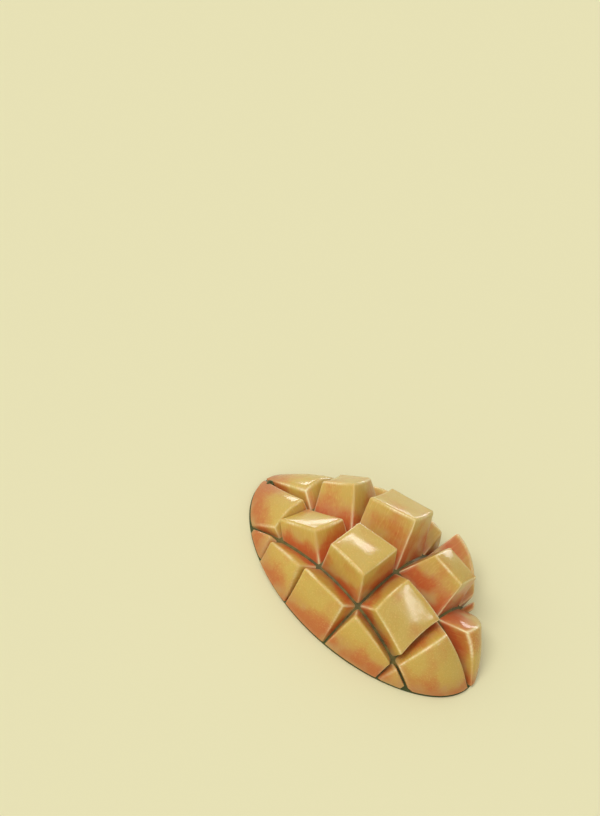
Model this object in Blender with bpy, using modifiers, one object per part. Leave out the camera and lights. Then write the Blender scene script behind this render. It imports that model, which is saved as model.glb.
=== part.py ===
"""Cubed mango half: a mango cheek scored in squares down to its skin and pushed inside out.

The skin is a shallow dome that rests on its rim. The blocks of flesh stand on it and fan out, and the
outer ones are wedges that run down to the rim. A place on the cheek is given by x along the fruit, from
the stem end at -X to the beak at +X, and by y across it.
"""
import math
import random

import bmesh
import bpy
from mathutils import Vector

NAME = "mango_half"

# Outline of the cheek, seen from above. It narrows by a part that grows from the stem end to the beak, and
# by a part that grows to both ends, which is larger on the far side at +Y than on the near side.
HALF_LENGTH = 0.0610
HALF_WIDTH = 0.0350
BEAK_TAPER = 0.02
END_TAPER = (0.06, 0.27)

# Rise of the turned-out skin over its rim.
SKIN_RISE = 0.0230
SKIN_THICKNESS = 0.0022
SKIRT_RADIUS = 1.06
SKIN_SEGMENTS = (34, 24)

# Flesh on the skin: deepest in the middle, and deeper on the far side and towards the beak.
FLESH_DEPTH = 0.0180
FLESH_FALL = 1.15
FLESH_LEAN_ACROSS = 0.42
FLESH_LEAN_ALONG = 0.25
RIM_FLESH = 0.0010
RIM_INSET = 0.012
ROOT_DEPTH = 0.0007

# Knife cuts: five columns across the fruit and four strips along it. The middle cut runs out to both tips.
CROSS_CUTS = (-0.0330, -0.0125, 0.0102, 0.0343)
LENGTH_CUTS = (-0.0195, -0.0015, 0.0207)
MIDDLE_CUT = 1
CUT_SPREAD = 0.16
MIDDLE_CUT_SLANT = 0.0095
CUT_GAP = 0.0010
TIP_WIDTH = 0.0016
TIP_STEPS = 400
END_CENTRE = 0.0090
LAST_COLUMN = len(CROSS_CUTS)
LAST_STRIP = len(LENGTH_CUTS)

# How far the blocks fan out, in degrees: a level term, one that grows with the place, one with its cube.
LEAN_ALONG = (-6.0, 84.0, -8.0)
LEAN_ACROSS = (9.0, 70.0, 32.0)
TOP_TAPER = 0.06

# Unevenness of hand cutting: a seeded spread on every block, and the blocks that stand out.
SEED = 11
LEAN_SPREAD = 1.5
HEIGHT_SPREAD = 0.0006
CROWN = 0.0005
CROWN_SPREAD = (0.4, 1.6)
BLOCK_CUTS = 4

# (column, strip): more lean along and across in degrees, a factor on height, and two more factors. On a
# full block they are on the length and width of its cut face. On an outer one they are on its height at the
# end towards the beak and on its far side.
TRIMS = {
    (1, 0): (8.0, -13.0, 1.09, 0.98, 1.02),
    (2, 0): (-9.0, 3.0, 1.09, 0.77, 1.04),
    (3, 0): (-2.0, 5.0, 0.97, 0.95, 1.0),
    (0, 1): (21.0, 11.0, 1.29, 1.06, 0.44),
    (1, 1): (1.0, 21.0, 0.79, 1.12, 0.88),
    (2, 1): (5.0, 6.0, 1.10, 0.91, 1.06),
    (3, 1): (5.0, -10.0, 0.58, 0.95, 0.97),
    (4, 1): (-9.0, -31.0, 0.89, 1.0, 0.90),
    (0, 2): (6.0, 2.0, 0.83, 0.99, 0.80),
    (1, 2): (-6.0, 1.0, 0.81, 1.01, 0.61),
    (2, 2): (-12.0, -4.0, 0.91, 1.10, 0.80),
    (3, 2): (-15.0, -8.0, 0.81, 0.69, 0.65),
    (4, 2): (17.0, -4.0, 0.92, 1.0, 1.50),
    (2, 3): (-3.0, -2.0, 0.91, 1.07, 1.0),
    (3, 3): (-18.0, -10.0, 1.30, 1.30, 1.0),
    (4, 3): (-36.0, -7.0, 2.10, 1.0, 1.0),
}
NO_TRIM = (0.0, 0.0, 1.0, 1.0, 1.0)

FLESH_COLOUR = (0.78, 0.36, 0.05, 1.0)
FLESH_ROUGHNESS = 0.35
WELD = 0.00002


def clear_scene():
    for item in list(bpy.data.objects):
        bpy.data.objects.remove(item, do_unlink=True)


def new_collection(name):
    collection = bpy.data.collections.new(name)
    bpy.context.scene.collection.children.link(collection)
    return collection


def flesh_material():
    material = bpy.data.materials.new("mango_flesh")
    material.use_nodes = True
    shader = material.node_tree.nodes["Principled BSDF"]
    shader.inputs["Base Color"].default_value = FLESH_COLOUR
    shader.inputs["Roughness"].default_value = FLESH_ROUGHNESS
    shader.inputs["Metallic"].default_value = 0.0
    return material


def add_object(name, builder, collection, material):
    mesh = bpy.data.meshes.new(name)
    builder.to_mesh(mesh)
    builder.free()
    mesh.materials.append(material)
    item = bpy.data.objects.new(name, mesh)
    collection.objects.link(item)
    return item


def width_at(x, y):
    """Half width of the ellipse that the rim follows at x, on the side that y lies on."""
    along = x / HALF_LENGTH
    return HALF_WIDTH * (1.0 - BEAK_TAPER * along - END_TAPER[y > 0.0] * along ** 2)


def rim_at(x, y):
    """Distance from the middle line to the edge of the flesh, just inside the rim, on the side of y."""
    return width_at(x, y) * math.sqrt(max((1.0 - RIM_INSET) ** 2 - (x / HALF_LENGTH) ** 2, 0.0))


def radius_squared(x, y):
    """0 in the middle of the cheek and 1 on its rim."""
    return (x / HALF_LENGTH) ** 2 + (y / width_at(x, y)) ** 2


def skin_point(x, y):
    return Vector((x, y, SKIN_RISE * (1.0 - radius_squared(x, y))))


def flesh_depth(x, y):
    """Depth of flesh over the skin, without the thin layer that reaches the rim."""
    inside = max(1.0 - radius_squared(x, y), 0.0)
    lean = 1.0 + FLESH_LEAN_ACROSS * y / HALF_WIDTH + FLESH_LEAN_ALONG * x / HALF_LENGTH
    return FLESH_DEPTH * lean * inside ** FLESH_FALL


def length_cut(cut, x):
    """Where a lengthwise cut runs at x."""
    along = x / HALF_LENGTH
    if cut == MIDDLE_CUT:
        return (LENGTH_CUTS[cut] + MIDDLE_CUT_SLANT * along) * (1.0 - along ** 2)
    return LENGTH_CUTS[cut] * (1.0 + CUT_SPREAD * along ** 2)


def strip_range(strip, x):
    """Both sides of a strip at x, inside the cuts and the rim."""
    near, far = rim_at(x, -1.0), rim_at(x, 1.0)
    low = -near if strip == 0 else length_cut(strip - 1, x) + CUT_GAP / 2
    high = far if strip == LAST_STRIP else length_cut(strip, x) - CUT_GAP / 2
    return max(low, -near), min(high, far)


def tip_of_strip(strip, start, end):
    """Goes from start towards end until the strip is only TIP_WIDTH wide."""
    for step in range(TIP_STEPS):
        x = start + (end - start) * step / TIP_STEPS
        low, high = strip_range(strip, x)
        if high - low < TIP_WIDTH:
            return x
    return end


def column_range(column, strip):
    """Both ends of a block along the fruit."""
    low = -HALF_LENGTH if column == 0 else CROSS_CUTS[column - 1] + CUT_GAP / 2
    high = HALF_LENGTH if column == LAST_COLUMN else CROSS_CUTS[column] - CUT_GAP / 2
    if column == 0:
        low = tip_of_strip(strip, high, low)
    if column == LAST_COLUMN:
        high = tip_of_strip(strip, low, high)
    return low, high


def lean_of(terms, place):
    return terms[0] + terms[1] * place + terms[2] * place ** 3


class Block:
    """One block of flesh: its footprint on the skin, and the way in which it leans."""

    def __init__(self, column, strip, draw):
        self.column = column
        self.strip = strip
        self.on_rim = column in (0, LAST_COLUMN) or strip in (0, LAST_STRIP)
        self.low, self.high = column_range(column, strip)
        more_x, more_y, self.height, self.more_ahead, self.more_aside = TRIMS.get((column, strip), NO_TRIM)
        x, y = self.centre()
        lean_x = lean_of(LEAN_ALONG, x / HALF_LENGTH) + more_x + draw.uniform(-LEAN_SPREAD, LEAN_SPREAD)
        lean_y = lean_of(LEAN_ACROSS, y / HALF_WIDTH) + more_y + draw.uniform(-LEAN_SPREAD, LEAN_SPREAD)
        self.set_directions(math.radians(lean_x), math.radians(lean_y))
        self.root = skin_point(x, y)
        self.rise = RIM_FLESH + flesh_depth(x, y) * self.height + draw.uniform(-HEIGHT_SPREAD, HEIGHT_SPREAD)
        self.crown = CROWN * draw.uniform(*CROWN_SPREAD)

    def centre(self):
        """Middle of the footprint; an end block takes it near its cut, where it is widest."""
        x = (self.low + self.high) / 2
        if self.column == 0:
            x = self.high - END_CENTRE
        if self.column == LAST_COLUMN:
            x = self.low + END_CENTRE
        return x, sum(strip_range(self.strip, x)) / 2

    def set_directions(self, lean_x, lean_y):
        """Directions of the block: up through its cut face, sideways and ahead."""
        level = math.cos(lean_x)
        self.up = Vector((math.sin(lean_x), math.sin(lean_y) * level, math.cos(lean_y) * level))
        self.side = (Vector((0.0, 1.0, 0.0)) - self.up * self.up.y).normalized()
        self.ahead = self.side.cross(self.up)

    def cut_face(self, base, along, across):
        """Point above base on the cut face: level on a full block, falling to the rim on an outer one."""
        edge = max(abs(2 * along - 1), abs(2 * across - 1)) ** 2
        swell = self.up * self.crown * (1.0 - edge)
        if self.on_rim:
            ahead = 1.0 + (self.more_ahead - 1.0) * along
            aside = 1.0 + (self.more_aside - 1.0) * across
            height = self.height * ahead * aside
            return base + self.up * (RIM_FLESH + flesh_depth(base.x, base.y) * height) + swell
        reach = base - self.root
        ahead = self.ahead * reach.dot(self.ahead) * self.more_ahead
        sideways = self.side * reach.dot(self.side) * self.more_aside
        return self.root + self.up * self.rise + (ahead + sideways) * (1.0 - TOP_TAPER) + swell

    def point(self, along, across, level):
        """Maps a unit cube to the block: level 0 is its root in the skin and level 1 its cut face."""
        x = self.low + (self.high - self.low) * along
        low, high = strip_range(self.strip, x)
        base = skin_point(x, low + (high - low) * across)
        root = base - self.up * ROOT_DEPTH
        return root.lerp(self.cut_face(base, along, across), level)


def make_block(block, collection, material):
    builder = bmesh.new()
    bmesh.ops.create_cube(builder, size=1.0)
    bmesh.ops.subdivide_edges(builder, edges=builder.edges[:], cuts=BLOCK_CUTS, use_grid_fill=True)
    for vert in builder.verts:
        vert.co = block.point(vert.co.x + 0.5, vert.co.y + 0.5, vert.co.z + 0.5)
    bmesh.ops.recalc_face_normals(builder, faces=builder.faces[:])
    add_object(f"block_{block.column}_{block.strip}", builder, collection, material)


def make_skin(collection, material):
    """Domed skin: a square grid drawn out to the outline and just past the rim, with its wall below."""
    builder = bmesh.new()
    bmesh.ops.create_grid(builder, x_segments=SKIN_SEGMENTS[0], y_segments=SKIN_SEGMENTS[1], size=1.0)
    for vert in builder.verts:
        along = vert.co.x * math.sqrt(1.0 - vert.co.y ** 2 / 2) * SKIRT_RADIUS
        across = vert.co.y * math.sqrt(1.0 - vert.co.x ** 2 / 2) * SKIRT_RADIUS
        x = along * HALF_LENGTH
        vert.co = skin_point(x, across * width_at(x, across))
    item = add_object(NAME, builder, collection, material)
    wall = item.modifiers.new("skin_wall", "SOLIDIFY")
    wall.thickness = SKIN_THICKNESS
    wall.offset = -1.0
    return item


def join_blocks(skin, blocks):
    """One solid: the blocks are united with the skin that they stand on."""
    union = skin.modifiers.new("flesh_on_skin", "BOOLEAN")
    union.operation = "UNION"
    union.operand_type = "COLLECTION"
    union.collection = blocks
    union.solver = "EXACT"


def level_rim(skin, cutters):
    """Trims the rim level, so that the half rests on a flat band all round."""
    builder = bmesh.new()
    bmesh.ops.create_cube(builder, size=1.0)
    mesh = bpy.data.meshes.new("table")
    builder.to_mesh(mesh)
    builder.free()
    cutter = bpy.data.objects.new("table", mesh)
    cutter.scale = (4 * HALF_LENGTH, 4 * HALF_LENGTH, HALF_LENGTH)
    cutter.location = (0.0, 0.0, -HALF_LENGTH / 2)
    cutter.hide_render = True
    cutter.display_type = "WIRE"
    cutters.objects.link(cutter)
    trim = skin.modifiers.new("level_rim", "BOOLEAN")
    trim.operation = "DIFFERENCE"
    trim.object = cutter
    trim.solver = "EXACT"


def apply_modifiers(item):
    bpy.context.view_layer.update()
    evaluated = item.evaluated_get(bpy.context.evaluated_depsgraph_get())
    mesh = bpy.data.meshes.new_from_object(evaluated)
    item.modifiers.clear()
    item.data = mesh


def clean_and_centre(item):
    """Welds the seams of the union and puts the middle of the rim's box at the origin."""
    builder = bmesh.new()
    builder.from_mesh(item.data)
    bmesh.ops.remove_doubles(builder, verts=builder.verts[:], dist=WELD)
    bmesh.ops.dissolve_degenerate(builder, edges=builder.edges[:], dist=WELD)
    xs = [vert.co.x for vert in builder.verts]
    ys = [vert.co.y for vert in builder.verts]
    shift = Vector((-(min(xs) + max(xs)) / 2, -(min(ys) + max(ys)) / 2, 0.0))
    bmesh.ops.translate(builder, verts=builder.verts[:], vec=shift)
    builder.to_mesh(item.data)
    builder.free()
    moved = [round(value * 1000, 3) for value in shift]
    print(NAME, "faces", len(item.data.polygons), "shifted by", moved, "mm")


def main():
    clear_scene()
    part = new_collection("cubed_mango_half")
    pieces = new_collection("blocks")
    cutters = new_collection("cutters")
    material = flesh_material()
    draw = random.Random(SEED)
    skin = make_skin(part, material)
    for strip in range(LAST_STRIP + 1):
        for column in range(LAST_COLUMN + 1):
            make_block(Block(column, strip, draw), pieces, material)
    join_blocks(skin, pieces)
    level_rim(skin, cutters)
    apply_modifiers(skin)
    for item in list(pieces.objects) + list(cutters.objects):
        bpy.data.objects.remove(item, do_unlink=True)
    clean_and_centre(skin)


main()
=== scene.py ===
# %% [markdown]
# # A cubed mango half
# A cheek cut from a ripe mango is scored in a grid down to its skin and pushed inside out. The skin becomes
# a shallow dome that rests on its rim, and the blocks of flesh stand on it and fan out. This lesson makes the
# flesh, the skin and the stem scar as finished pieces, from the cuts' real places, and gives each its real
# surface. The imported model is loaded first. It is the frame: its place and size are fixed, and the pieces
# made here stand for it.

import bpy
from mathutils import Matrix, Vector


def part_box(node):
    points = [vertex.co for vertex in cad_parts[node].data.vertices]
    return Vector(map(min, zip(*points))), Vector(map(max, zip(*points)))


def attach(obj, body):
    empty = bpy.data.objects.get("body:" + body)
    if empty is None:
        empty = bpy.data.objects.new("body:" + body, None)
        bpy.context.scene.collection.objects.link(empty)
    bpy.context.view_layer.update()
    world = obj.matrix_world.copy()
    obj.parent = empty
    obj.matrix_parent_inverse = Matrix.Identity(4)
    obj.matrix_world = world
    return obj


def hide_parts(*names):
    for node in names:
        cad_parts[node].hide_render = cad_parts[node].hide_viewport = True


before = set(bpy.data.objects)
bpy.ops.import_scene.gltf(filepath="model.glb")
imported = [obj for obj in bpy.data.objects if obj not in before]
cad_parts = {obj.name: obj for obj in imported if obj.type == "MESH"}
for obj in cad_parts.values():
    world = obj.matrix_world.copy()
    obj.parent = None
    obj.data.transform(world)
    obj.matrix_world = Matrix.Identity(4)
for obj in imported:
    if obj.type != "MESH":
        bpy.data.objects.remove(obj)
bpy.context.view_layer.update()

# %% [markdown]
# The tools are numpy for the many points of the flesh, bmesh for primitives, and mathutils for directions.
# Colours are written as sRGB hex values, the way a colour picker shows them. Shaders work in linear light, so
# one function turns each of them over. A second one adds a node, sets its values and links its inputs. Both
# the shaders and the geometry trees below are made with it.

# %% Colours and nodes
import math
import random

import bmesh
import bpy
import numpy as np
from mathutils import Matrix, Vector

MM = 0.001


def linear(colour):
    """sRGB hex to linear RGBA."""
    values = [int(colour[i:i + 2], 16) / 255 for i in (1, 3, 5)]
    return (*[v / 12.92 if v <= 0.04045 else ((v + 0.055) / 1.055) ** 2.4 for v in values], 1.0)


def add(tree, kind, inputs=None, **settings):
    """Adds a node. An input takes a plain value, a socket, or a node, whose first output is linked."""
    node = tree.nodes.new(kind)
    for name, value in settings.items():
        setattr(node, name, value)
    for key, value in (inputs or {}).items():
        socket = node.inputs[key]
        if isinstance(value, bpy.types.Node):
            value = next(output for output in value.outputs if output.enabled)
        if isinstance(value, bpy.types.NodeSocket):
            tree.links.new(value, socket)
        else:
            socket.default_value = value
    return node


print("ripe yellow in linear light", [round(v, 3) for v in linear("#CEB059")[:3]])

# %% [markdown]
# ## The cheek
# The rim of the cheek is close to an ellipse. x runs along the fruit, from the stem end to the beak, and y
# across it. A mango isn't even, so the far side narrows more towards the ends than the near side. One number
# says how far out a place lies: 0 in the middle and 1 on the rim. The turned-out skin rises over it as a
# parabola, which is close to how a thin shell bends when it snaps over.

# %% Outline and skin
HALF_LENGTH = 61.0 * MM
HALF_WIDTH = 35.0 * MM
BEAK_TAPER = 0.02  # The beak end is this share narrower than the middle, and the stem end wider.
END_TAPER = (0.06, 0.27)  # Both ends narrow by this share, on the near and on the far side.
SKIN_RISE = 23.0 * MM
SKIN_THICKNESS = 2.2 * MM
SKIRT_RADIUS = 1.06  # The skin is made a little too large, and its rim is then cut level.


def width_at(x, y):
    """Half width at x, on the side that y lies on: near or far."""
    along = x / HALF_LENGTH
    return HALF_WIDTH * (1.0 - BEAK_TAPER * along - END_TAPER[y > 0.0] * along ** 2)


def radius_squared(x, y):
    """0 in the middle of the cheek and 1 on its rim."""
    return (x / HALF_LENGTH) ** 2 + (y / width_at(x, y)) ** 2


def skin_point(x, y):
    return Vector((x, y, SKIN_RISE * (1.0 - radius_squared(x, y))))


print("rim", round(2 * HALF_LENGTH / MM), "mm long, skin", round(skin_point(0, 0).z / MM, 1), "mm high")

# %% [markdown]
# ## The knife cuts
# Four cuts cross the fruit and three run along it. A cut by hand is never quite straight: the outer ones
# bow, and the middle one slants and ends in both tips. Every block lies between two cuts, or between a cut
# and the rim, where the flesh runs out in a wedge. Columns are counted from the stem end, and strips from
# the near side.

# %% Cuts
CROSS_CUTS = (-33.0 * MM, -12.5 * MM, 10.2 * MM, 34.3 * MM)
LENGTH_CUTS = (-19.5 * MM, -1.5 * MM, 20.7 * MM)
MIDDLE_CUT = 1
CUT_SPREAD = 0.16  # The outer cuts bow outwards by this share at the tips.
MIDDLE_CUT_SLANT = 9.5 * MM
CUT_GAP = 0.8 * MM
RIM_INSET = 0.017  # The flesh ends this share of the way inside the skin's rim.
TIP_WIDTH = 1.6 * MM  # A strip's last block ends where the strip is this narrow.
TIP_STEPS = 400
END_CENTRE = 9.0 * MM  # Middle of an end block, measured from its cut.
LAST_COLUMN = len(CROSS_CUTS)
LAST_STRIP = len(LENGTH_CUTS)


def rim_at(x, y):
    """Distance from the middle line to the edge of the flesh, on the side of y."""
    return width_at(x, y) * math.sqrt(max((1.0 - RIM_INSET) ** 2 - (x / HALF_LENGTH) ** 2, 0.0))


def length_cut(cut, x):
    """Where a lengthwise cut runs at x."""
    along = x / HALF_LENGTH
    if cut == MIDDLE_CUT:
        return (LENGTH_CUTS[cut] + MIDDLE_CUT_SLANT * along) * (1.0 - along ** 2)
    return LENGTH_CUTS[cut] * (1.0 + CUT_SPREAD * along ** 2)


def strip_range(strip, x):
    """Both sides of a strip at x, inside the cuts and the rim."""
    near, far = rim_at(x, -1.0), rim_at(x, 1.0)
    low = -near if strip == 0 else length_cut(strip - 1, x) + CUT_GAP / 2
    high = far if strip == LAST_STRIP else length_cut(strip, x) - CUT_GAP / 2
    return max(low, -near), min(high, far)


def tip_of_strip(strip, start, end):
    """Goes from start towards end until the strip is only TIP_WIDTH wide."""
    for step in range(TIP_STEPS):
        x = start + (end - start) * step / TIP_STEPS
        low, high = strip_range(strip, x)
        if high - low < TIP_WIDTH:
            return x
    return end


def column_range(column, strip):
    """Both ends of a block along the fruit."""
    low = -HALF_LENGTH if column == 0 else CROSS_CUTS[column - 1] + CUT_GAP / 2
    high = HALF_LENGTH if column == LAST_COLUMN else CROSS_CUTS[column] - CUT_GAP / 2
    if column == 0:
        low = tip_of_strip(strip, high, low)
    if column == LAST_COLUMN:
        high = tip_of_strip(strip, low, high)
    return low, high


print("blocks", (LAST_COLUMN + 1) * (LAST_STRIP + 1))

# %% [markdown]
# ## One block of flesh
# Turning the skin out tips each block away from the middle, the more the further out it stands. A full block
# keeps its flat cut face. An outer block is a wedge, whose cut face falls to the rim. Most blocks stand out
# from the rule a little, as blocks cut by hand do, and those have a line of their own. A last small spread is
# drawn from a seeded generator, so that each run gives the same fruit.

# %% Flesh depth and lean
FLESH_DEPTH = 18.0 * MM
FLESH_FALL = 1.15  # Above 1, the depth falls off faster than the dome does.
FLESH_LEAN_ACROSS = 0.42  # The flesh is deeper on the far side by this share,
FLESH_LEAN_ALONG = 0.25  # and at the beak by this one.
RIM_FLESH = 1.0 * MM
ROOT_DEPTH = 0.7 * MM  # A block reaches this far into the skin.
LEAN_ALONG = (-6.0, 84.0, -8.0)
LEAN_ACROSS = (9.0, 70.0, 32.0)
TOP_TAPER = 0.06
SEED = 11
LEAN_SPREAD = 1.5
HEIGHT_SPREAD = 0.6 * MM
CROWN = 0.5 * MM
CROWN_SPREAD = (0.4, 1.6)

# (column, strip): more lean along and across in degrees, a factor on height, and two more factors. On a full
# block they are on the length and width of its cut face. On an outer one they are on its height at the end
# towards the beak and on its far side.
TRIMS = {
    (1, 0): (8.0, -13.0, 1.09, 0.98, 1.02),
    (2, 0): (-9.0, 3.0, 1.09, 0.77, 1.04),
    (3, 0): (-2.0, 5.0, 0.97, 0.95, 1.0),
    (0, 1): (21.0, 11.0, 1.29, 1.06, 0.44),
    (1, 1): (1.0, 21.0, 0.79, 1.12, 0.88),
    (2, 1): (5.0, 6.0, 1.10, 0.91, 1.06),
    (3, 1): (5.0, -10.0, 0.58, 0.95, 0.97),
    (4, 1): (-9.0, -31.0, 0.89, 1.0, 0.90),
    (0, 2): (6.0, 2.0, 0.83, 0.99, 0.80),
    (1, 2): (-6.0, 1.0, 0.81, 1.01, 0.61),
    (2, 2): (-12.0, -4.0, 0.91, 1.10, 0.80),
    (3, 2): (-15.0, -8.0, 0.81, 0.69, 0.65),
    (4, 2): (17.0, -4.0, 0.92, 1.0, 1.50),
    (2, 3): (-3.0, -2.0, 0.91, 1.07, 1.0),
    (3, 3): (-18.0, -10.0, 1.30, 1.30, 1.0),
    (4, 3): (-36.0, -7.0, 2.10, 1.0, 1.0),
}
NO_TRIM = (0.0, 0.0, 1.0, 1.0, 1.0)


def flesh_depth(x, y):
    """Depth of flesh over the skin, without the thin layer that reaches the rim."""
    inside = max(1.0 - radius_squared(x, y), 0.0)
    lean = 1.0 + FLESH_LEAN_ACROSS * y / HALF_WIDTH + FLESH_LEAN_ALONG * x / HALF_LENGTH
    return FLESH_DEPTH * lean * inside ** FLESH_FALL


def lean_of(terms, place):
    """A level term, one that grows with the place, and one with its cube, in degrees."""
    return terms[0] + terms[1] * place + terms[2] * place ** 3


print("deepest flesh", round(flesh_depth(0, 0) / MM, 1), "mm in the middle")

# %% [markdown]
# A block is a cube whose corners are sent to the right places, so a point of it is given by three numbers
# from 0 to 1: along the fruit, across it, and from the root in the skin to the cut face. Its three own
# directions serve later as well, because the fibres in the flesh run along them.

# %% The block's rule
class Block:
    """One block of flesh: its footprint on the skin, and the way in which it leans."""

    def __init__(self, column, strip, draw):
        self.column = column
        self.strip = strip
        self.on_rim = column in (0, LAST_COLUMN) or strip in (0, LAST_STRIP)
        self.low, self.high = column_range(column, strip)
        trim = TRIMS.get((column, strip), NO_TRIM)
        more_x, more_y, self.height, self.more_ahead, self.more_aside = trim
        x, y = self.centre()
        lean_x = lean_of(LEAN_ALONG, x / HALF_LENGTH) + more_x + draw.uniform(-LEAN_SPREAD, LEAN_SPREAD)
        lean_y = lean_of(LEAN_ACROSS, y / HALF_WIDTH) + more_y + draw.uniform(-LEAN_SPREAD, LEAN_SPREAD)
        self.set_directions(math.radians(lean_x), math.radians(lean_y))
        self.root = skin_point(x, y)
        spread = draw.uniform(-HEIGHT_SPREAD, HEIGHT_SPREAD)
        self.rise = RIM_FLESH + flesh_depth(x, y) * self.height + spread
        self.crown = CROWN * draw.uniform(*CROWN_SPREAD)

    def centre(self):
        """Middle of the footprint; an end block takes it near its cut, where it is widest."""
        x = (self.low + self.high) / 2
        if self.column == 0:
            x = self.high - END_CENTRE
        if self.column == LAST_COLUMN:
            x = self.low + END_CENTRE
        return x, sum(strip_range(self.strip, x)) / 2

    def set_directions(self, lean_x, lean_y):
        """Directions of the block: up through its cut face, sideways and ahead."""
        level = math.cos(lean_x)
        self.up = Vector((math.sin(lean_x), math.sin(lean_y) * level, math.cos(lean_y) * level))
        self.side = (Vector((0.0, 1.0, 0.0)) - self.up * self.up.y).normalized()
        self.ahead = self.side.cross(self.up)

    def base(self, along, across):
        """Place on the skin under a point of the block."""
        x = self.low + (self.high - self.low) * along
        low, high = strip_range(self.strip, x)
        return skin_point(x, low + (high - low) * across)

    def cut_face(self, base, along, across):
        """Point over base on the cut face: flat on a full block, falling to the rim on an outer one."""
        swell = self.up * self.crown * (1.0 - (2 * along - 1) ** 2) * (1.0 - (2 * across - 1) ** 2)
        if self.on_rim:
            ahead = 1.0 + (self.more_ahead - 1.0) * along
            aside = 1.0 + (self.more_aside - 1.0) * across
            height = self.height * ahead * aside
            return base + self.up * (RIM_FLESH + flesh_depth(base.x, base.y) * height) + swell
        reach = base - self.root
        ahead = self.ahead * reach.dot(self.ahead) * self.more_ahead
        sideways = self.side * reach.dot(self.side) * self.more_aside
        return self.root + self.up * self.rise + (ahead + sideways) * (1.0 - TOP_TAPER) + swell


draw = random.Random(SEED)
blocks = [Block(column, strip, draw) for strip in range(LAST_STRIP + 1) for column in range(LAST_COLUMN + 1)]
print("tallest block", round(max(block.rise for block in blocks) / MM, 1), "mm deep")

# %% [markdown]
# ## Flesh with soft edges
# A knife leaves crisp edges, but wet flesh slumps and dries a little, so an edge is about a millimetre round.
# The cube's grid lines are crowded towards its edges, and each point is then pulled onto a rounded box before
# the block's rule places it. Rounding first and placing afterwards keeps the edge thin where a wedge runs
# out. The root and the sides on the rim stay square, because no knife edge shows there.

# %% Grid of a rounded cube
GRID_CUTS = 17
EDGE_ROUND = 1.0 * MM
EDGE_BAND = (0.05 * MM, 0.95 * MM)  # Painted cream highlight in full up to the first distance from an edge, and none from the second.
TINY = 1e-9


def unit_cube(cuts):
    """Corners and faces of a gridded cube from -0.5 to 0.5, its lines crowded towards the edges."""
    builder = bmesh.new()
    bmesh.ops.create_cube(builder, size=1.0)
    bmesh.ops.subdivide_edges(builder, edges=builder.edges[:], cuts=cuts, use_grid_fill=True)
    points = np.array([vert.co for vert in builder.verts])
    faces = [[vert.index for vert in face.verts] for face in builder.faces]
    builder.free()
    return np.sin(np.clip(points, -0.5, 0.5) * math.pi) / 2, faces


def square_sides(block):
    """Sides of a block that keep square edges, as axis and sign: its root, and those on the rim."""
    sides = [(2, -1)]
    for axis, number, last in ((0, block.column, LAST_COLUMN), (1, block.strip, LAST_STRIP)):
        if number in (0, last):
            sides.append((axis, -1 if number == 0 else 1))
    return sides


def rounded(points, size, radius, square):
    """Pulls the points of a box onto the same box with round edges, but leaves some sides square."""
    inner = {1: size / 2 - radius, -1: radius - size / 2}
    for axis, sign in square:
        inner[sign][axis] = sign * size[axis]
    core = np.clip(points * size, inner[-1], inner[1])
    out = points * size - core
    length = np.maximum(np.linalg.norm(out, axis=1, keepdims=True), TINY)
    pulled = np.where(length > TINY, core + out / length * np.minimum(length, radius), core)
    return pulled / size


def ease(value, low, high):
    """Smooth step from 0 at low to 1 at high, of a number or of an array."""
    share = np.clip((value - low) / (high - low), 0.0, 1.0)
    return share * share * (3.0 - 2.0 * share)


def near_edge(points, size):
    """1 on an edge of the box and 0 away from it. The root has no edges."""
    gaps = (0.5 - np.abs(points)) * size
    gaps[:, 2] = (0.5 - points[:, 2]) * size[2]
    second = np.sort(gaps, axis=1)[:, 1]
    return 1.0 - ease(second, *EDGE_BAND)


cube_points, cube_faces = unit_cube(GRID_CUTS)
print("points in a block", len(cube_points), "faces", len(cube_faces))

# %% [markdown]
# Each block is now placed from the same cube, and five values are kept for each of its points, for the
# material to read: how ripe the flesh is, which falls towards the skin, how thin it is, where the point lies
# in the block's own directions, how near an edge is, and the tone of the whole block. Flesh is never evenly
# ripe, so each block has a tone of its own, and a few at the beak end are redder than the rest.

# %% Place the blocks
FULL_RIPE_DEPTH = 7.0 * MM
LEAST_RISE = 3.0 * MM  # A flat wedge is rounded as if it were this high.
LOWEST_FLESH = 0.05 * MM  # No flesh hangs under the rim.
REDDER = {(3, 3): 5.0, (4, 3): 4.0, (3, 2): 2.0, (4, 2): 2.5}  # (column, strip): what comes off the tone


def place_block(block, cube):
    """Places of a block's points, with ripeness, thinness, place in the block and nearness to an edge."""
    low, high = strip_range(block.strip, (block.low + block.high) / 2)
    size = np.array((block.high - block.low, high - low, max(block.rise, LEAST_RISE)))
    places, ripe, thin, grain = [], [], [], []
    for point in rounded(cube, size, EDGE_ROUND, square_sides(block)):
        along, across, level = (float(value) + 0.5 for value in point)
        base = block.base(along, across)
        top = block.cut_face(base, along, across)
        root = base - block.up * ROOT_DEPTH
        place = root.lerp(top, level)
        place.z = max(place.z, LOWEST_FLESH)
        full = ease((top - base).length, 0.0, FULL_RIPE_DEPTH)
        ripe.append(max(level, 0.0) * full)
        thin.append(1.0 - full)
        reach = place - block.root
        grain.append((reach.dot(block.ahead), reach.dot(block.side), reach.dot(block.up)))
        places.append(place)
    return places, ripe, thin, grain, near_edge(cube, size)


places, ripeness, thinness, grains, edges, tones, faces = [], [], [], [], [], [], []
tone_draw = random.Random(SEED + 1)
for block in blocks:
    start = len(places)
    one = place_block(block, cube_points)
    tone = tone_draw.uniform(-1.0, 1.0) - REDDER.get((block.column, block.strip), 0.0)
    for values, more in zip((places, ripeness, thinness, grains, edges), one):
        values.extend(more)
    tones += [tone] * len(one[0])
    faces += [[start + index for index in face] for face in cube_faces]
print("flesh points", len(places), "faces", len(faces))

# %% [markdown]
# The lists become one mesh. The kept values go beside its points as attributes, which are named columns of
# numbers, and a material reads them by their names. The place in the block is stored in millimetres.

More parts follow.
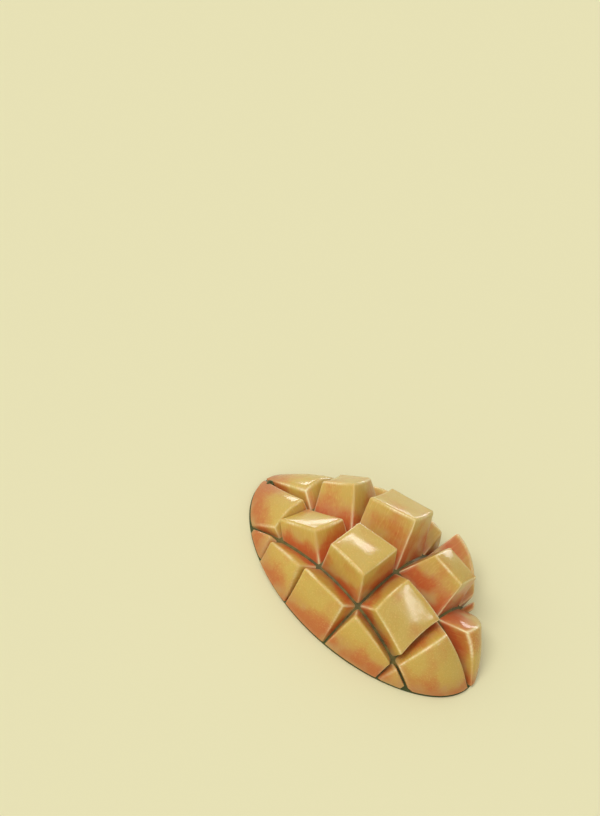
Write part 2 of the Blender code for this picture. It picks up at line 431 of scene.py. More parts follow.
# %% Flesh mesh
def store(mesh, name, kind, values):
    """Stores one value, or one vector, for each point of a mesh."""
    layer = mesh.attributes.new(name, kind, "POINT")
    field = "vector" if kind == "FLOAT_VECTOR" else "value"
    layer.data.foreach_set(field, np.array(values, np.float32).ravel())


def new_piece(name, mesh):
    """An object with this mesh, at the origin."""
    item = bpy.data.objects.new(name, mesh)
    bpy.context.scene.collection.objects.link(item)
    return item


flesh_mesh = bpy.data.meshes.new("flesh_blocks")
flesh_mesh.from_pydata(places, [], faces)
store(flesh_mesh, "ripeness", "FLOAT", ripeness)
store(flesh_mesh, "thinness", "FLOAT", thinness)
store(flesh_mesh, "edge", "FLOAT", edges)
store(flesh_mesh, "tone", "FLOAT", tones)
store(flesh_mesh, "grain", "FLOAT_VECTOR", np.array(grains) / MM)
flesh = new_piece("mango_flesh", flesh_mesh)
print("flesh attributes", [layer.name for layer in flesh_mesh.attributes if not layer.is_internal])

# %% [markdown]
# ## Wet relief on the cut faces
# The flesh of a ripe mango is never optically flat. It swells in soft waves about a centimetre across, has
# small dimples, and the fibres that the knife went through leave a still finer relief. All three are a rule
# over the whole surface, so Geometry Nodes move the points, by a tree with named inputs. The modifier's
# values are set by the identifier of each input, and its result is baked to a plain mesh.

# %% Relief tree
def new_tree(name, inputs):
    """A geometry tree with a mesh in, a mesh out and named number inputs."""
    tree = bpy.data.node_groups.new(name, "GeometryNodeTree")
    tree.interface.new_socket("Geometry", in_out="INPUT", socket_type="NodeSocketGeometry")
    for label, value in inputs.items():
        kind = "NodeSocketInt" if isinstance(value, int) else "NodeSocketFloat"
        socket = tree.interface.new_socket(label, in_out="INPUT", socket_type=kind)
        socket.default_value = value
    tree.interface.new_socket("Geometry", in_out="OUTPUT", socket_type="NodeSocketGeometry")
    return tree, add(tree, "NodeGroupInput"), add(tree, "NodeGroupOutput")


def bake(item, tree, values, material):
    """Runs a tree on an object, keeps the result as its mesh and removes the modifier."""
    modifier = item.modifiers.new(tree.name, "NODES")
    modifier.node_group = tree
    for socket in tree.interface.items_tree:
        if socket.in_out == "INPUT" and socket.name in values:
            modifier[socket.identifier] = values[socket.name]
    bpy.context.view_layer.update()
    evaluated = item.evaluated_get(bpy.context.evaluated_depsgraph_get())
    mesh = bpy.data.meshes.new_from_object(evaluated)
    item.modifiers.clear()
    item.data = mesh
    mesh.materials.clear()
    mesh.materials.append(material)


RELIEF = {
    "Swell": 0.06 * MM, "Swell Size": 11.0 * MM,
    "Dimple": 0.05 * MM, "Dimple Size": 3.4 * MM,
    "Fibre Relief": 0.045 * MM, "Fibre Spacing": 1.2 * MM,
}
RELIEF_PAIRS = (("Swell", "Swell Size"), ("Dimple", "Dimple Size"), ("Fibre Relief", "Fibre Spacing"))


def relief_tree(material):
    """Moves every point along its normal by three noises, from broad to fine."""
    tree, into, out = new_tree("cut_face_relief", RELIEF)
    place = add(tree, "GeometryNodeInputPosition")
    moved = into.outputs["Geometry"]
    offsets = []
    for height, spacing in RELIEF_PAIRS:
        rate = add(tree, "ShaderNodeMath", {0: 1.0, 1: into.outputs[spacing]}, operation="DIVIDE")
        noise = add(tree, "ShaderNodeTexNoise", {"Vector": place, "Scale": rate, "Detail": 1.0})
        level = add(tree, "ShaderNodeMath", {0: noise.outputs[0], 1: 0.5}, operation="SUBTRACT")
        offsets.append(add(tree, "ShaderNodeMath", {0: level, 1: into.outputs[height]}, operation="MULTIPLY"))
    both = add(tree, "ShaderNodeMath", {0: offsets[0], 1: offsets[1]}, operation="ADD")
    total = add(tree, "ShaderNodeMath", {0: both, 1: offsets[2]}, operation="ADD")
    double = add(tree, "ShaderNodeMath", {0: total, 1: 2.0}, operation="MULTIPLY")
    normal = add(tree, "GeometryNodeInputNormal")
    push = add(tree, "ShaderNodeVectorMath", {0: normal, "Scale": double}, operation="SCALE")
    shaped = add(tree, "GeometryNodeSetPosition", {"Geometry": moved, "Offset": push.outputs[0]})
    real = add(tree, "GeometryNodeRealizeInstances", {"Geometry": shaped})
    painted = add(tree, "GeometryNodeSetMaterial", {"Geometry": real, "Material": material})
    tree.links.new(painted.outputs[0], out.inputs[0])
    return tree


print("relief in mm", {name: round(value / MM, 2) for name, value in RELIEF.items()})

# %% [markdown]
# ## Mango flesh
# Ripe mango flesh is a wet, fibrous pulp. It is golden in the open, and turns orange-red towards the skin.
# The colour is made first. It follows the stored ripeness, which blotches and mottling shift a little. Soft
# orange-red patches lie over it, and flesh that runs out thin to the rim is a plainer orange. Low on the
# walls, at the foot of the grooves, the patches are partly painted shade. They are a noise and not placed one
# by one, so they go right through a block and meet at its edges, as in a real fruit.

# %% Colour of the flesh
FLESH_RAMP = (
    (0.0, "#CCB07A"), (0.20, "#CFA668"), (0.48, "#CFA859"), (0.76, "#CFAC54"), (1.0, "#CEB059"))
# Orange-red of the patches, partly painted shade where it lies low on the walls.
BLUSH_AND_SHADE = "#CA5E2E"
RIM_ORANGE = "#B0702F"


def ramp(tree, factor, stops):
    """Colour ramp over the given stops."""
    node = add(tree, "ShaderNodeValToRGB", {"Fac": factor})
    band = node.color_ramp
    band.elements[0].position, band.elements[1].position = stops[0][0], stops[-1][0]
    band.elements[0].color, band.elements[1].color = linear(stops[0][1]), linear(stops[-1][1])
    for position, colour in stops[1:-1]:
        band.elements.new(position).color = linear(colour)
    return node


def pulp_colour(tree, stored, place):
    """Colour of the flesh, with patches that are partly painted shade low on the walls, without its fibres
    and painted edge highlights.
    """
    # Blotches 5 mm across and mottling of 1.4 mm shift the ripeness, and so does the block's own tone.
    blotch = add(tree, "ShaderNodeTexNoise", {"Vector": place, "Scale": 1 / (5 * MM), "Detail": 3.0})
    shift = add(tree, "ShaderNodeMapRange", {
        "Value": blotch.outputs[0], "From Min": 0.3, "From Max": 0.7, "To Min": -0.16, "To Max": 0.14})
    mottle = add(tree, "ShaderNodeTexNoise", {"Vector": place, "Scale": 1 / (1.4 * MM), "Detail": 2.0})
    fine = add(tree, "ShaderNodeMapRange", {
        "Value": mottle.outputs[0], "From Min": 0.3, "From Max": 0.7, "To Min": -0.09, "To Max": 0.09})
    mixed = add(tree, "ShaderNodeMath", {0: shift.outputs[0], 1: fine.outputs[0]}, operation="ADD")
    own = add(tree, "ShaderNodeMath", {0: stored["tone"], 1: 0.05, 2: mixed}, operation="MULTIPLY_ADD")
    ripe = add(tree, "ShaderNodeMath", {0: stored["ripeness"], 1: own}, operation="ADD", use_clamp=True)
    golden = ramp(tree, ripe, FLESH_RAMP)

    # Soft orange-red patches 10 mm across: faint on the cut face, more and stronger low on the walls, where
    # they are partly painted shade at the foot of the grooves.
    patch = add(tree, "ShaderNodeTexNoise", {"Vector": place, "Scale": 1 / (10 * MM), "Detail": 1.5})
    low = add(tree, "ShaderNodeMath", {0: ripe, 1: -0.16, 2: patch.outputs[0]}, operation="MULTIPLY_ADD")
    spread = add(tree, "ShaderNodeMapRange", {"Value": low, "From Min": 0.34, "From Max": 0.52})
    strength = add(tree, "ShaderNodeMapRange", {
        "Value": ripe, "From Min": 0.25, "From Max": 0.95, "To Min": 0.85, "To Max": 0.32})
    blush_and_shade = add(tree, "ShaderNodeMath", {0: spread.outputs[0], 1: strength.outputs[0]}, operation="MULTIPLY")
    blushed_and_shaded = add(tree, "ShaderNodeMix", {"Factor": blush_and_shade, 6: golden.outputs[0], 7: linear(BLUSH_AND_SHADE)},
                  data_type="RGBA")

    # Plainer orange where the flesh runs out to the rim.
    to_rim = add(tree, "ShaderNodeMapRange", {"Value": stored["thinness"], "To Max": 0.55})
    return add(tree, "ShaderNodeMix", {
        "Factor": to_rim.outputs[0], 6: blushed_and_shaded.outputs[2], 7: linear(RIM_ORANGE)}, data_type="RGBA")


print("flesh colours, from the skin out", [colour for _, colour in FLESH_RAMP])

# %% [markdown]
# Fibres and a painted cream highlight along the edges come on top. The fibres are a noise drawn out along the
# block's own upward direction, so they run down the walls and end as dots on the cut face. The edges are
# painted cream as a highlight, along some stretches more than others, and hardly at all where the flesh is
# thin.

# %% Fibres and painted edge highlights
THREAD = "#E8C874"
# Cream of the painted highlight along the edges.
EDGE_HIGHLIGHT_CREAM = "#F6E8BC"
FIBRES_PER_MM = (1.6, 1.6, 0.16)  # 0.6 mm apart across the block, and ten times as long up it


def fibre_noise(tree, grain):
    """Noise drawn out along the fibres, in the block's own directions."""
    drawn_out = add(tree, "ShaderNodeMapping", {"Vector": grain, "Scale": FIBRES_PER_MM})
    noise = {"Vector": drawn_out.outputs[0], "Scale": 1.0, "Detail": 3.0, "Roughness": 0.55}
    return add(tree, "ShaderNodeTexNoise", noise).outputs[0]


def threads_and_edge_highlights(tree, stored, place, fibre, pulp):
    """Adds pale threads where the flesh is ripe, and a painted cream highlight along the edges."""
    thread = add(tree, "ShaderNodeMapRange", {
        "Value": fibre, "From Min": 0.52, "From Max": 0.72, "To Min": 0.0, "To Max": 0.45})
    in_open = add(tree, "ShaderNodeMath", {0: thread.outputs[0], 1: stored["ripeness"]}, operation="MULTIPLY")
    threaded = add(tree, "ShaderNodeMix", {"Factor": in_open, 6: pulp, 7: linear(THREAD)}, data_type="RGBA")

    # The painted edge highlight runs in stretches of 10 mm, made a little uneven by the fibres.
    stretch = add(tree, "ShaderNodeTexNoise", {"Vector": place, "Scale": 1 / (10 * MM), "Detail": 1.0})
    edge_highlight_stretch = add(tree, "ShaderNodeMapRange", {
        "Value": stretch.outputs[0], "From Min": 0.38, "From Max": 0.62, "To Min": 0.25, "To Max": 1.1})
    uneven = add(tree, "ShaderNodeMath", {0: fibre, 1: edge_highlight_stretch.outputs[0]}, operation="MULTIPLY")
    on_edge = add(tree, "ShaderNodeMath", {0: stored["edge"], 1: uneven}, operation="MULTIPLY")
    thick = add(tree, "ShaderNodeMapRange", {"Value": stored["thinness"], "To Min": 1.5, "To Max": 0.0})
    cream = add(tree, "ShaderNodeMath", {0: on_edge, 1: thick.outputs[0]}, operation="MULTIPLY",
                use_clamp=True)
    return add(tree, "ShaderNodeMix", {"Factor": cream, 6: threaded.outputs[2], 7: linear(EDGE_HIGHLIGHT_CREAM)},
               data_type="RGBA")


print("fibres are", round(1 / FIBRES_PER_MM[0], 1), "mm apart and", round(1 / FIBRES_PER_MM[2], 1), "mm long")

# %% [markdown]
# Under the juice the pulp itself is rough, more in some patches than in others. The juice is an even, clear
# coat, which gives the sharp glints. Light goes some millimetres into the pulp and comes out again, red the
# furthest, so that shadows and thin edges glow warm.

# %% Flesh material
JUICE_IOR = 1.38
PULP_SCATTER = (1.0, 0.50, 0.20)
SCATTER_DEPTH = 3.0 * MM
STORED = ("ripeness", "thinness", "edge", "tone")


def mango_flesh_material():
    """Wet pulp: rough, translucent and fibrous, under a film of clear juice that gives it its glints."""
    material = bpy.data.materials.new("wet_mango_pulp")
    material.use_nodes = True
    tree = material.node_tree
    tree.nodes.clear()
    stored = {name: add(tree, "ShaderNodeAttribute", attribute_name=name).outputs["Fac"] for name in STORED}
    grain = add(tree, "ShaderNodeAttribute", attribute_name="grain").outputs["Vector"]
    place = add(tree, "ShaderNodeTexCoord").outputs["Object"]
    fibre = fibre_noise(tree, grain)
    pulp = pulp_colour(tree, stored, place)
    colour = threads_and_edge_highlights(tree, stored, place, fibre, pulp.outputs[2])

    # Relief too fine for the mesh: the fibres stand out by a tenth of a millimetre.
    bump = add(tree, "ShaderNodeBump", {"Height": fibre, "Strength": 0.6, "Distance": 0.18 * MM})

    # Smoother and rougher patches of pulp 8 mm across.
    uneven = add(tree, "ShaderNodeTexNoise", {"Vector": place, "Scale": 1 / (8 * MM), "Detail": 2.0})
    rough = add(tree, "ShaderNodeMapRange", {
        "Value": uneven.outputs[0], "From Min": 0.35, "From Max": 0.65, "To Min": 0.46, "To Max": 0.62})
    shader = add(tree, "ShaderNodeBsdfPrincipled", {
        "Base Color": colour.outputs[2], "Roughness": rough.outputs[0], "IOR": JUICE_IOR,
        "Normal": bump.outputs[0], "Subsurface Weight": 0.35, "Subsurface Radius": PULP_SCATTER,
        "Subsurface Scale": SCATTER_DEPTH, "Coat Weight": 0.75, "Coat Roughness": 0.12,
        "Coat IOR": JUICE_IOR})
    add(tree, "ShaderNodeOutputMaterial", {"Surface": shader.outputs[0]})
    return material


flesh_material = mango_flesh_material()
bake(flesh, relief_tree(flesh_material), RELIEF, flesh_material)
flesh.data.shade_smooth()
print("flesh triangles", 2 * len(flesh.data.polygons))

# %% [markdown]
# ## The skin
# The skin is one thin, leathery wall. Its shape is a rule, so Geometry Nodes make it: a square grid is drawn
# out to a disc, the disc to the cheek's outline, and then raised to the dome. Solidify gives the wall its
# thickness, and a box cuts the rim level, as the half rests on it. On the real fruit the wall goes a little
# past the flesh, and so a thin green line shows along the rim and at the foot of every groove.

# %% Dome tree
SKIN_GRID = {"Columns": 150, "Rows": 110}
SKIN_SIZES = {"Half Length": HALF_LENGTH, "Half Width": HALF_WIDTH, "Rise": SKIN_RISE, "Skirt": SKIRT_RADIUS,
              "Beak Taper": BEAK_TAPER, "Near End Taper": END_TAPER[0], "Far End Taper": END_TAPER[1]}


def dome_tree(material):
    """Grid to disc, disc to the cheek's outline, and up to the dome."""
    tree, into, out = new_tree("skin_dome", {**SKIN_GRID, **SKIN_SIZES})
    grid = add(tree, "GeometryNodeMeshGrid", {
        "Size X": 2.0, "Size Y": 2.0,
        "Vertices X": into.outputs["Columns"], "Vertices Y": into.outputs["Rows"]})
    place = add(tree, "ShaderNodeSeparateXYZ", {0: add(tree, "GeometryNodeInputPosition")})

    # A square with corners at 1 goes to a disc by x * sqrt(1 - y * y / 2), and the same for y.
    disc = []
    for mine, other in ((0, 1), (1, 0)):
        squared = add(tree, "ShaderNodeMath", {0: place.outputs[other], 1: place.outputs[other]},
                      operation="MULTIPLY")
        rest = add(tree, "ShaderNodeMath", {0: squared, 1: -0.5, 2: 1.0}, operation="MULTIPLY_ADD")
        root = add(tree, "ShaderNodeMath", {0: rest}, operation="SQRT")
        drawn = add(tree, "ShaderNodeMath", {0: place.outputs[mine], 1: root}, operation="MULTIPLY")
        disc.append(add(tree, "ShaderNodeMath", {0: drawn, 1: into.outputs["Skirt"]}, operation="MULTIPLY"))

    # The half width shrinks along the fruit as in width_at.
    far = add(tree, "ShaderNodeMath", {0: disc[1], 1: 0.0}, operation="GREATER_THAN")
    squared = add(tree, "ShaderNodeMath", {0: disc[0], 1: disc[0]}, operation="MULTIPLY")
    end_taper = add(tree, "ShaderNodeMix", {
        0: far, 2: into.outputs["Near End Taper"], 3: into.outputs["Far End Taper"]})
    to_ends = add(tree, "ShaderNodeMath", {0: end_taper.outputs[0], 1: squared}, operation="MULTIPLY")
    narrow = add(tree, "ShaderNodeMath", {0: disc[0], 1: into.outputs["Beak Taper"], 2: to_ends},
                 operation="MULTIPLY_ADD")
    share = add(tree, "ShaderNodeMath", {0: 1.0, 1: narrow}, operation="SUBTRACT")
    width = add(tree, "ShaderNodeMath", {0: share, 1: into.outputs["Half Width"]}, operation="MULTIPLY")
    x = add(tree, "ShaderNodeMath", {0: disc[0], 1: into.outputs["Half Length"]}, operation="MULTIPLY")
    y = add(tree, "ShaderNodeMath", {0: disc[1], 1: width}, operation="MULTIPLY")

    # The height falls with the squared radius, as in skin_point.
    across = add(tree, "ShaderNodeMath", {0: disc[1], 1: disc[1]}, operation="MULTIPLY")
    radius = add(tree, "ShaderNodeMath", {0: disc[0], 1: disc[0], 2: across}, operation="MULTIPLY_ADD")
    inside = add(tree, "ShaderNodeMath", {0: 1.0, 1: radius}, operation="SUBTRACT")
    z = add(tree, "ShaderNodeMath", {0: inside, 1: into.outputs["Rise"]}, operation="MULTIPLY")
    point = add(tree, "ShaderNodeCombineXYZ", {0: x, 1: y, 2: z})
    domed = add(tree, "GeometryNodeSetPosition", {"Geometry": grid.outputs[0], "Position": point})
    real = add(tree, "GeometryNodeRealizeInstances", {"Geometry": domed})
    painted = add(tree, "GeometryNodeSetMaterial", {"Geometry": real, "Material": material})
    tree.links.new(painted.outputs[0], out.inputs[0])
    return tree


print("skin grid", SKIN_GRID)

# %% [markdown]
# ## Mango skin
# The skin is waxy, with a satin gloss. Outside it is maroon to red at the stem end and turns green towards
# the rim and the beak, with small pale lenticels. Inside, where the knife has laid it bare, it is a rougher
# olive green, darkened to a brownish olive partly as painted shade of the grooves it lies in. Two stored
# values
# tell the parts apart: outside is 1 on the lower side, and rim is 1 close to the edge.

# %% Skin material
OUTSIDE_RAMP = ((0.0, "#4A1512"), (0.35, "#7C2A1B"), (0.62, "#8A5A22"), (0.82, "#66701F"), (1.0, "#4C5A1C"))
# The inside olive is dark partly as painted shade of the grooves it shows in.
INSIDE_OLIVE_AND_SHADE = ("#4E4C20", "#7A7034")
RIM_GREEN = "#3F4A1A"
LENTICEL = "#C9B67A"


def mango_skin_material():
    """Waxy skin: satin red to green with lenticels outside, and a dull olive inside, dark partly as painted
    shade.
    """
    material = bpy.data.materials.new("waxy_mango_skin")
    material.use_nodes = True
    tree = material.node_tree
    tree.nodes.clear()
    outside = add(tree, "ShaderNodeAttribute", attribute_name="outside").outputs["Fac"]
    rim = add(tree, "ShaderNodeAttribute", attribute_name="rim").outputs["Fac"]
    place = add(tree, "ShaderNodeTexCoord").outputs["Object"]
    along = add(tree, "ShaderNodeSeparateXYZ", {0: place})

    # Red to green: along the fruit, towards the rim, and cloudy over 15 mm.
    cloud = add(tree, "ShaderNodeTexNoise", {"Vector": place, "Scale": 1 / (15 * MM), "Detail": 5.0})
    reach = add(tree, "ShaderNodeMapRange", {
        "Value": along.outputs[0], "From Min": -HALF_LENGTH, "From Max": HALF_LENGTH,
        "To Min": -0.20, "To Max": 0.50})
    to_rim = add(tree, "ShaderNodeMath", {0: rim, 1: 0.45, 2: reach.outputs[0]}, operation="MULTIPLY_ADD")
    green = add(tree, "ShaderNodeMath", {0: cloud.outputs[0], 1: 0.8, 2: to_rim}, operation="MULTIPLY_ADD")
    outer = ramp(tree, green, OUTSIDE_RAMP)

    # Lenticels: pale dots 2.6 mm apart.
    dots = add(tree, "ShaderNodeTexVoronoi", {"Vector": place, "Scale": 1 / (2.6 * MM), "Randomness": 0.9})
    dot = add(tree, "ShaderNodeMapRange", {
        "Value": dots.outputs[0], "From Min": 0.10, "From Max": 0.17, "To Min": 0.75, "To Max": 0.0})
    dotted = add(tree, "ShaderNodeMix", {"Factor": dot.outputs[0], 6: outer.outputs[0], 7: linear(LENTICEL)},
                 data_type="RGBA")

    # Inside: olive, dark partly as painted shade of the grooves, paler in patches of 4 mm.
    patch = add(tree, "ShaderNodeTexNoise", {"Vector": place, "Scale": 1 / (4 * MM), "Detail": 3.0})
    inner = ramp(tree, patch.outputs[0], ((0.35, INSIDE_OLIVE_AND_SHADE[0]), (0.65, INSIDE_OLIVE_AND_SHADE[1])))
    edge_green = add(tree, "ShaderNodeMix", {"Factor": rim, 6: inner.outputs[0], 7: linear(RIM_GREEN)},
                     data_type="RGBA")
    both = add(tree, "ShaderNodeMix", {"Factor": outside, 6: edge_green.outputs[2], 7: dotted.outputs[2]},
               data_type="RGBA")

    # A pebbled relief of 0.7 mm, with the lenticels raised on it.
    peel = add(tree, "ShaderNodeTexNoise", {"Vector": place, "Scale": 1 / (0.7 * MM), "Detail": 2.0})
    raised = add(tree, "ShaderNodeMath", {0: dot.outputs[0], 1: 0.5, 2: peel.outputs[0]},
                 operation="MULTIPLY_ADD")
    bump = add(tree, "ShaderNodeBump", {"Height": raised, "Strength": 0.25, "Distance": 0.2 * MM})

    # Wax outside, and torn, matt fibres inside.
    rough = add(tree, "ShaderNodeMapRange", {"Value": outside, "To Min": 0.65, "To Max": 0.36})
    shader = add(tree, "ShaderNodeBsdfPrincipled", {
        "Base Color": both.outputs[2], "Roughness": rough.outputs[0], "IOR": 1.45, "Normal": bump.outputs[0],
        "Coat Weight": 0.2, "Coat Roughness": 0.25})
    add(tree, "ShaderNodeOutputMaterial", {"Surface": shader.outputs[0]})
    return material


skin_material = mango_skin_material()
print("skin material", skin_material.name)

# %% [markdown]
# The dome is baked from its tree. Solidify thickens it to a wall, downwards, and a Boolean modifier takes off
# what lies below the table. Each modifier's result becomes the mesh before the next step.

# %% Skin wall
def apply_modifiers(item):
    """Keeps the result of an object's modifiers as its mesh."""
    bpy.context.view_layer.update()
    evaluated = item.evaluated_get(bpy.context.evaluated_depsgraph_get())
    mesh = bpy.data.meshes.new_from_object(evaluated)
    item.modifiers.clear()
    item.data = mesh


def level_rim(item):
    """Cuts off what lies below the level of the table."""
    builder = bmesh.new()
    bmesh.ops.create_cube(builder, size=4 * HALF_LENGTH)
    bmesh.ops.translate(builder, verts=builder.verts[:], vec=(0.0, 0.0, -2 * HALF_LENGTH))
    mesh = bpy.data.meshes.new("table_cut")
    builder.to_mesh(mesh)
    builder.free()
    cutter = new_piece("table_cut", mesh)
    trim = item.modifiers.new("level_rim", "BOOLEAN")
    trim.operation = "DIFFERENCE"
    trim.object = cutter
    trim.solver = "EXACT"
    apply_modifiers(item)
    bpy.data.objects.remove(cutter, do_unlink=True)


skin = new_piece("mango_skin", bpy.data.meshes.new("skin_seed"))
bake(skin, dome_tree(skin_material), {**SKIN_GRID, **SKIN_SIZES}, skin_material)
wall = skin.modifiers.new("skin_wall", "SOLIDIFY")
wall.thickness = SKIN_THICKNESS
wall.offset = -1.0
apply_modifiers(skin)
level_rim(skin)
print("skin faces", len(skin.data.polygons))

# %% [markdown]
# A Boolean can leave doubled points and turned faces, so the skin is welded and its faces are turned out. The
# two values for the material come from the finished mesh. A point lies outside where it is a wall's thickness
# below the dome, and the rim's value grows over the outer fifth of the way.

# %% Skin values
WELD = 0.01 * MM
CREASE_ANGLE = math.radians(40)
OUTSIDE_BAND = (0.2 * MM, 1.2 * MM)  # depth below the dome over which inside turns to outside
RIM_BAND = (0.80, 1.0)  # as a share of the way from the middle to the rim


def finish_skin(item):
    """Welds the skin, turns its faces out and stores which side and how near the rim each point lies."""
    builder = bmesh.new()
    builder.from_mesh(item.data)
    bmesh.ops.remove_doubles(builder, verts=builder.verts[:], dist=WELD)
    bmesh.ops.recalc_face_normals(builder, faces=builder.faces[:])
    open_edges = sum(1 for edge in builder.edges if not edge.is_manifold)
    builder.to_mesh(item.data)
    builder.free()
    item.data.shade_smooth()
    item.data.set_sharp_from_angle(angle=CREASE_ANGLE)
    points = [vert.co for vert in item.data.vertices]
    depths = np.array([skin_point(point.x, point.y).z - point.z for point in points])
    radii = np.array([math.sqrt(radius_squared(point.x, point.y)) for point in points])
    store(item.data, "outside", "FLOAT", ease(depths, *OUTSIDE_BAND))
    store(item.data, "rim", "FLOAT", ease(radii, *RIM_BAND))
    return open_edges


print("open edges on the skin", finish_skin(skin))

# %% [markdown]
# ## The stem scar
# At the stem end the fruit keeps the stub that it hung from: a dark green button of a few millimetres with a
# dished top. It is a sphere that is pressed flat and dished by a formula, standing where the middle cut meets
# the tip. It takes the skin's material, and the stored values set it to the dark green of the rim.

# %% Stem scar
SCAR_PLACE = (-57.0 * MM, -1.8 * MM)
SCAR_RADIUS = 1.7 * MM
SCAR_HEIGHT = 1.5 * MM
SCAR_LIFT = 1.2 * MM
SCAR_LOBES = (5, 0.06)  # how many, and how far they stand out
SCAR_DISH = (0.7, 0.4)  # depth and width, as shares of height and radius

scar_builder = bmesh.new()
bmesh.ops.create_uvsphere(scar_builder, u_segments=40, v_segments=24, radius=1.0)
for vert in scar_builder.verts:
    reach = math.hypot(vert.co.x, vert.co.y)
    lobes = 1.0 + SCAR_LOBES[1] * math.sin(SCAR_LOBES[0] * math.atan2(vert.co.y, vert.co.x))
    height = vert.co.z - SCAR_DISH[0] * math.exp(-(reach / SCAR_DISH[1]) ** 2) * max(vert.co.z, 0.0)
    vert.co = Vector((vert.co.x * lobes * SCAR_RADIUS, vert.co.y * lobes * SCAR_RADIUS, height * SCAR_HEIGHT))
scar_centre = skin_point(*SCAR_PLACE) + Vector((0.0, 0.0, SCAR_LIFT))
bmesh.ops.translate(scar_builder, verts=scar_builder.verts[:], vec=scar_centre)
scar_mesh = bpy.data.meshes.new("stem_scar")
scar_builder.to_mesh(scar_mesh)
scar_builder.free()
scar_mesh.materials.append(skin_material)
scar_mesh.shade_smooth()
store(scar_mesh, "outside", "FLOAT", [0.0] * len(scar_mesh.vertices))
store(scar_mesh, "rim", "FLOAT", [1.0] * len(scar_mesh.vertices))
scar = new_piece("stem_scar", scar_mesh)
print("stem scar faces", len(scar_mesh.polygons))

# %% [markdown]
# ## Into the frame
# The frame's solid was centred on its own box, so the three pieces take the same small step. Each rides on
# the body and stands for the solid.

# %% Ride and replace
NODE = "mango_half"


def centre_of(low, high):
    return (Vector(low) + Vector(high)) / 2


def box_of(items):
    points = np.array([vert.co for item in items for vert in item.data.vertices])
    return Vector(points.min(axis=0)), Vector(points.max(axis=0))


step = centre_of(*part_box(NODE)) - centre_of(*box_of([flesh, skin]))
step.z = 0.0
for piece, slot_name in ((flesh, "mango_flesh"), (skin, "mango_skin"), (scar, "mango_skin")):
    piece.data.transform(Matrix.Translation(step))
    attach(piece, "root")
    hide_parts(NODE)
print("moved by", [round(value / MM, 2) for value in step], "mm")

# %% [markdown]
# ## Directions of the view
# The camera looks down on the near side from its right, and is rolled, so that the fruit lies aslant in the
# picture. Its three directions come first, because the sun is placed by them: right and up in the picture,
# and towards the camera.

# %% Directions of the view
AZIMUTH, ELEVATION, ROLL = math.radians(21.6), math.radians(55.7), math.radians(-27.5)

toward = Vector((math.sin(AZIMUTH) * math.cos(ELEVATION), -math.cos(AZIMUTH) * math.cos(ELEVATION),
                 math.sin(ELEVATION)))
level_right = Vector((math.cos(AZIMUTH), math.sin(AZIMUTH), 0.0))
level_up = toward.cross(level_right)
picture_right = math.cos(ROLL) * level_right - math.sin(ROLL) * level_up
picture_up = math.sin(ROLL) * level_right + math.cos(ROLL) * level_up
print("towards the camera", [round(value, 3) for value in toward])

# %% [markdown]
# ## Floor
# The floor is a plain pale sheet, so large that its end is never in view. It is matt, without any gloss,
# since from a low angle even a faint one would mirror the lamps.

# %% Floor
FLOOR_SIZE = 30.0
FLOOR_COLOUR = "#ECEAC8"
FLOOR_ROUGHNESS = 0.9

floor_builder = bmesh.new()
bmesh.ops.create_grid(floor_builder, x_segments=1, y_segments=1, size=FLOOR_SIZE / 2)
floor_mesh = bpy.data.meshes.new("floor")
floor_builder.to_mesh(floor_mesh)
floor_builder.free()
floor = new_piece("floor", floor_mesh)
floor_material = bpy.data.materials.new("matt_cream_sheet")
floor_material.use_nodes = True
floor_shader = floor_material.node_tree.nodes["Principled BSDF"]
floor_shader.inputs["Base Color"].default_value = linear(FLOOR_COLOUR)
floor_shader.inputs["Roughness"].default_value = FLOOR_ROUGHNESS
floor_shader.inputs["Specular IOR Level"].default_value = 0.0
floor_mesh.materials.append(floor_material)
print("floor", FLOOR_SIZE, "m wide")

# %% [markdown]
# ## Sun and soft boxes
# A soft sun stands at the upper left of the picture. Wet flesh shows its gloss only where it mirrors
# something bright, so long soft boxes stand where the cut faces mirror them towards the camera: two overhead
# and two low ones. The camera and diffuse light don't see them, so they add glints and nothing else.

# %% Sun and soft boxes
SUN_STRENGTH = 0.90
SUN_ANGLE = math.radians(24)
SUN_COLOUR = "#FFF6E6"
SUN_PLACE = (-0.28, 0.42, 0.86)  # right and up in the picture, and towards the camera
SUN_DISTANCE = 2.0
BOX_DISTANCE = 0.9

# Name, direction, length and width in metres, and brightness for each area.
SOFT_BOXES = (
    ("gloss_over_middle", (-0.36, 0.33, 0.87), 0.27, 0.06, 24.0),
    ("gloss_over_beak", (0.66, 0.035, 0.75), 0.24, 0.05, 22.0),
    ("gloss_behind", (-0.35, 0.93, 0.09), 0.60, 0.12, 8.0),
    ("gloss_left", (-0.83, 0.55, 0.07), 0.40, 0.12, 10.0),
)


def link_light(name, light, direction, distance):
    """Puts a light out along a direction, facing back to the fruit."""
    item = bpy.data.objects.new(name, light)
    item.location = direction.normalized() * distance
    item.rotation_euler = direction.to_track_quat("Z", "Y").to_euler()
    bpy.context.scene.collection.objects.link(item)
    return item


def soft_box(name, direction, length, width, radiance):
    """Lamp with its long side along the fruit, as bright per area whatever its size. Only gloss shows it."""
    light = bpy.data.lights.new(name, "AREA")
    light.shape = "RECTANGLE"
    light.size, light.size_y = length, width
    light.energy = radiance * math.pi * length * width
    item = link_light(name, light, direction, BOX_DISTANCE)
    back = direction.normalized()
    long_side = (Vector((1.0, 0.0, 0.0)) - back * back.x).normalized()
    item.rotation_euler = Matrix((long_side, back.cross(long_side), back)).transposed().to_euler()
    item.visible_camera = False
    item.visible_diffuse = False


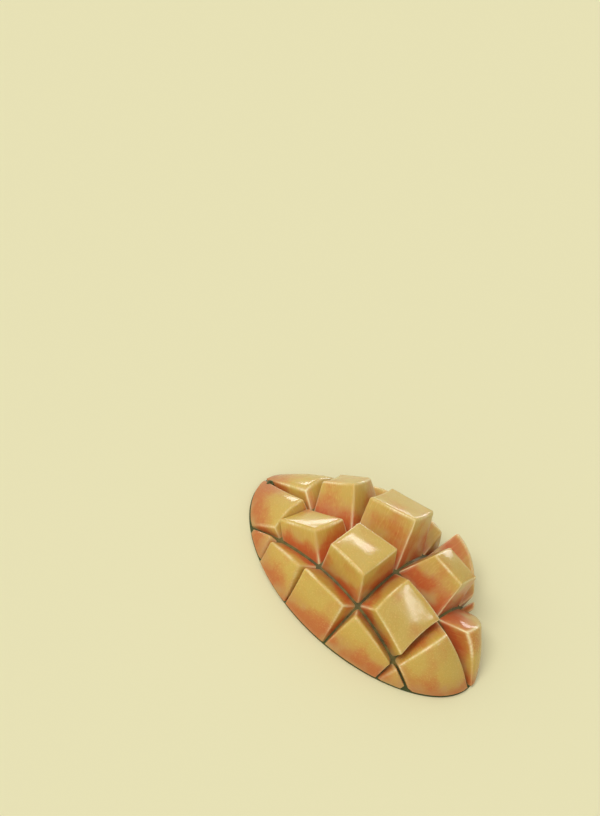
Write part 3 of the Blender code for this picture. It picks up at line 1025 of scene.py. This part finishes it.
sun = bpy.data.lights.new("key", "SUN")
sun.energy = SUN_STRENGTH
sun.angle = SUN_ANGLE
sun.color = linear(SUN_COLOUR)[:3]
sun_direction = SUN_PLACE[0] * picture_right + SUN_PLACE[1] * picture_up + SUN_PLACE[2] * toward
link_light("key", sun, sun_direction, SUN_DISTANCE)
for box_name, box_direction, length, width, radiance in SOFT_BOXES:
    soft_box(box_name, Vector(box_direction), length, width, radiance)

# %% [markdown]
# ## Sky
# A pale world lights the rest, as a bright room does. It is over three times as bright on the sun's side as
# opposite, so that the walls of the blocks that are turned away from the sun keep some shade. The cosine of
# the angle to the sun, a dot product, sets the strength.

# %% Sky
SKY_COLOUR = "#FBF8EA"
SKY_STRENGTH = (0.26, 0.92)
SKY_DARK_COSINE = -0.6

world = bpy.data.worlds.new("pale_room")
bpy.context.scene.world = world
world.use_nodes = True
sky = world.node_tree.nodes["Background"]
sky.inputs["Color"].default_value = linear(SKY_COLOUR)
looking = add(world.node_tree, "ShaderNodeTexCoord").outputs["Generated"]
to_sun = add(world.node_tree, "ShaderNodeVectorMath", {0: looking, 1: sun_direction.normalized()},
             operation="DOT_PRODUCT")
glow = add(world.node_tree, "ShaderNodeMapRange", {
    "Value": to_sun.outputs["Value"], "From Min": SKY_DARK_COSINE,
    "To Min": SKY_STRENGTH[0], "To Max": SKY_STRENGTH[1]})
world.node_tree.links.new(glow.outputs[0], sky.inputs["Strength"])
bpy.context.scene.view_settings.view_transform = "Standard"
print("sky strength", SKY_STRENGTH)

# %% [markdown]
# ## Camera
# The camera stands so far off that the blocks show little perspective. Its scale is given in pixels for each
# metre at the fruit, which the lens follows from. The fruit lies low and to the right in the picture, so the
# camera is turned a little away from it, until the middle of the rim falls on its pixel.

# %% Camera
IMAGE_SIZE = (600, 816)
SENSOR = 36.0
DISTANCE = 0.70
PIXELS_PER_METRE = 2404.0
ORIGIN_PIXEL = (363.8, 582.0)

focal_pixels = PIXELS_PER_METRE * DISTANCE
aim = Vector(((ORIGIN_PIXEL[0] - IMAGE_SIZE[0] / 2) / focal_pixels,
              -(ORIGIN_PIXEL[1] - IMAGE_SIZE[1] / 2) / focal_pixels, -1.0)).normalized()
turn = Vector((0.0, 0.0, -1.0)).rotation_difference(aim).to_matrix()
facing = Matrix((picture_right, picture_up, toward)).transposed() @ turn.inverted()
camera = bpy.data.objects.new("camera", bpy.data.cameras.new("camera"))
bpy.context.scene.collection.objects.link(camera)
camera.matrix_world = Matrix.Translation(toward * DISTANCE + step) @ facing.to_4x4()
camera.data.lens = focal_pixels * SENSOR / IMAGE_SIZE[1]
camera.data.sensor_width = SENSOR
bpy.context.scene.camera = camera
print("lens", round(camera.data.lens, 1), "mm")
